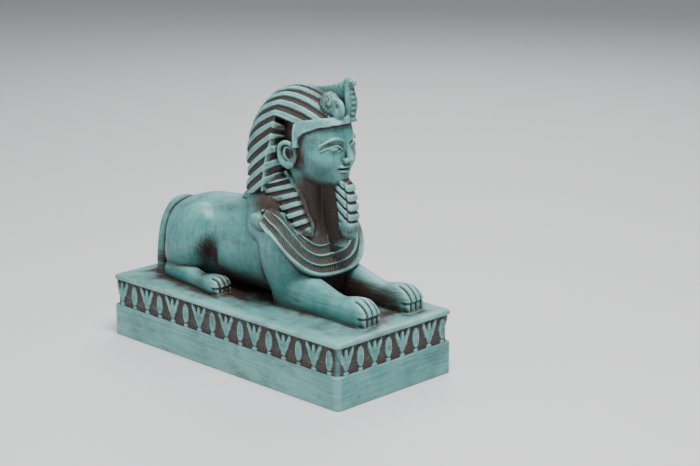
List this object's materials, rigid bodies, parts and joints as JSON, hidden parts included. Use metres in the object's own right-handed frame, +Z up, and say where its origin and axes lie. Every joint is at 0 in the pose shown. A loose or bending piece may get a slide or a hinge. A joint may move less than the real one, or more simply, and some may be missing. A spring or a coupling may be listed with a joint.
{
  "type": "sphinx statue",
  "caption": "Crouching sphinx statuette in a striped head cloth and broad collar, cast with its lotus-frieze plinth, to stand on a shelf or table.",
  "frame": {"origin": "middle of the plinth's underside, on the surface it stands on", "axes": "+X the way the sphinx looks, +Y to its left, +Z up"},
  "size_m": [0.1204, 0.057, 0.1055],
  "materials": {
    "cast_resin": "satin turquoise glaze colour, with a dark brown wash in the hollows"
  },
  "bodies": {
    "root": {"sphinx_on_plinth": "cast_resin"}
  },
  "joints": []
}
